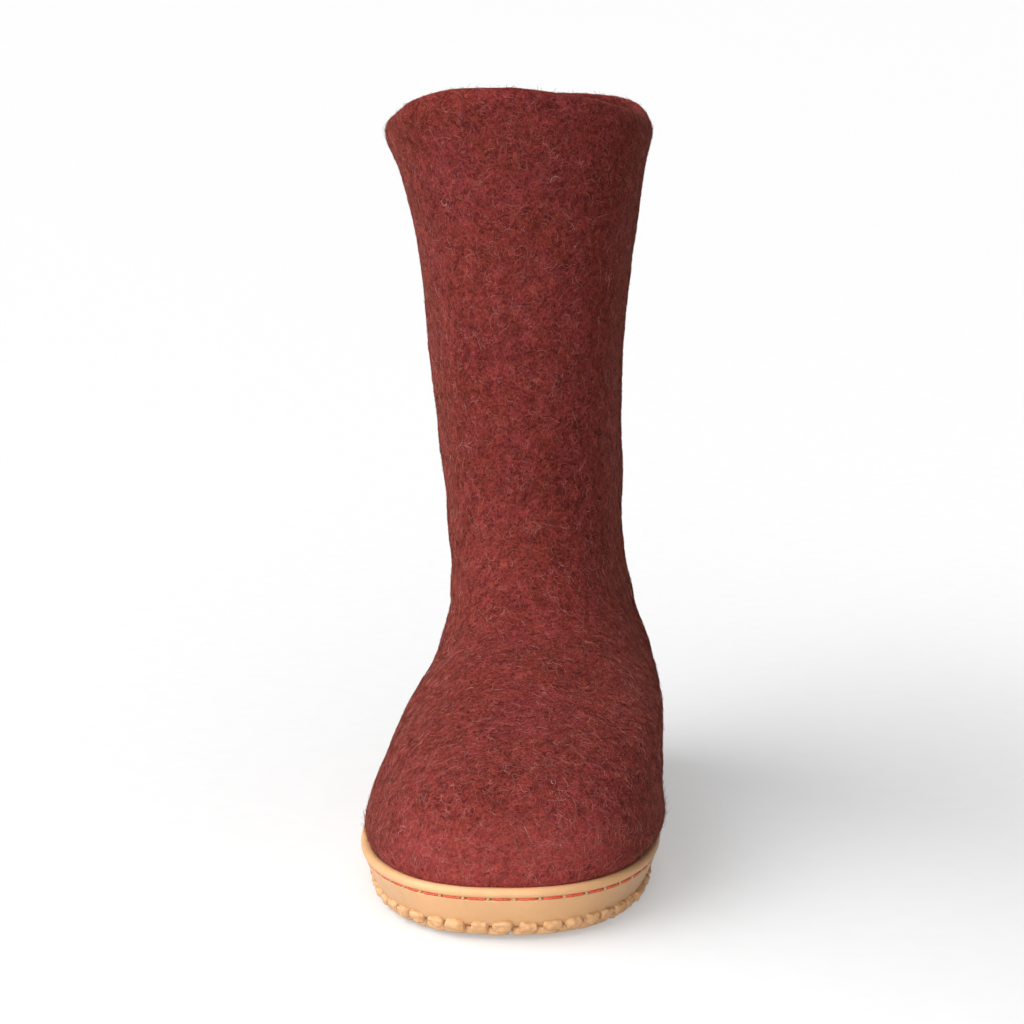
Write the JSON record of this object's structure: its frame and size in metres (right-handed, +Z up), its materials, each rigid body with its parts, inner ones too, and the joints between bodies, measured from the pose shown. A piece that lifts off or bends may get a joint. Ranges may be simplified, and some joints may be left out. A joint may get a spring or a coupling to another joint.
{
  "type": "felt boot",
  "caption": "Seamless felted wool boot with a wide soft shaft and flared collar, on a moulded rubber cup sole with a stitched lip and small edge lugs.",
  "frame": {"origin": "on the floor, under the middle of the sole's length and width over the lip", "axes": "+Z up along the shaft, -Y towards the toe, +X towards the inner side of the foot, so the boot is for the right foot"},
  "size_m": [0.1093, 0.272, 0.2822],
  "materials": {
    "wool_felt": "burgundy felted wool, fibrous and matt",
    "rubber": "honey coloured natural rubber, satin",
    "insole_felt": "dark burgundy wool felt, matt"
  },
  "bodies": {
    "root": {"upper": "wool_felt", "outsole": "rubber", "insole": "insole_felt"}
  },
  "joints": []
}
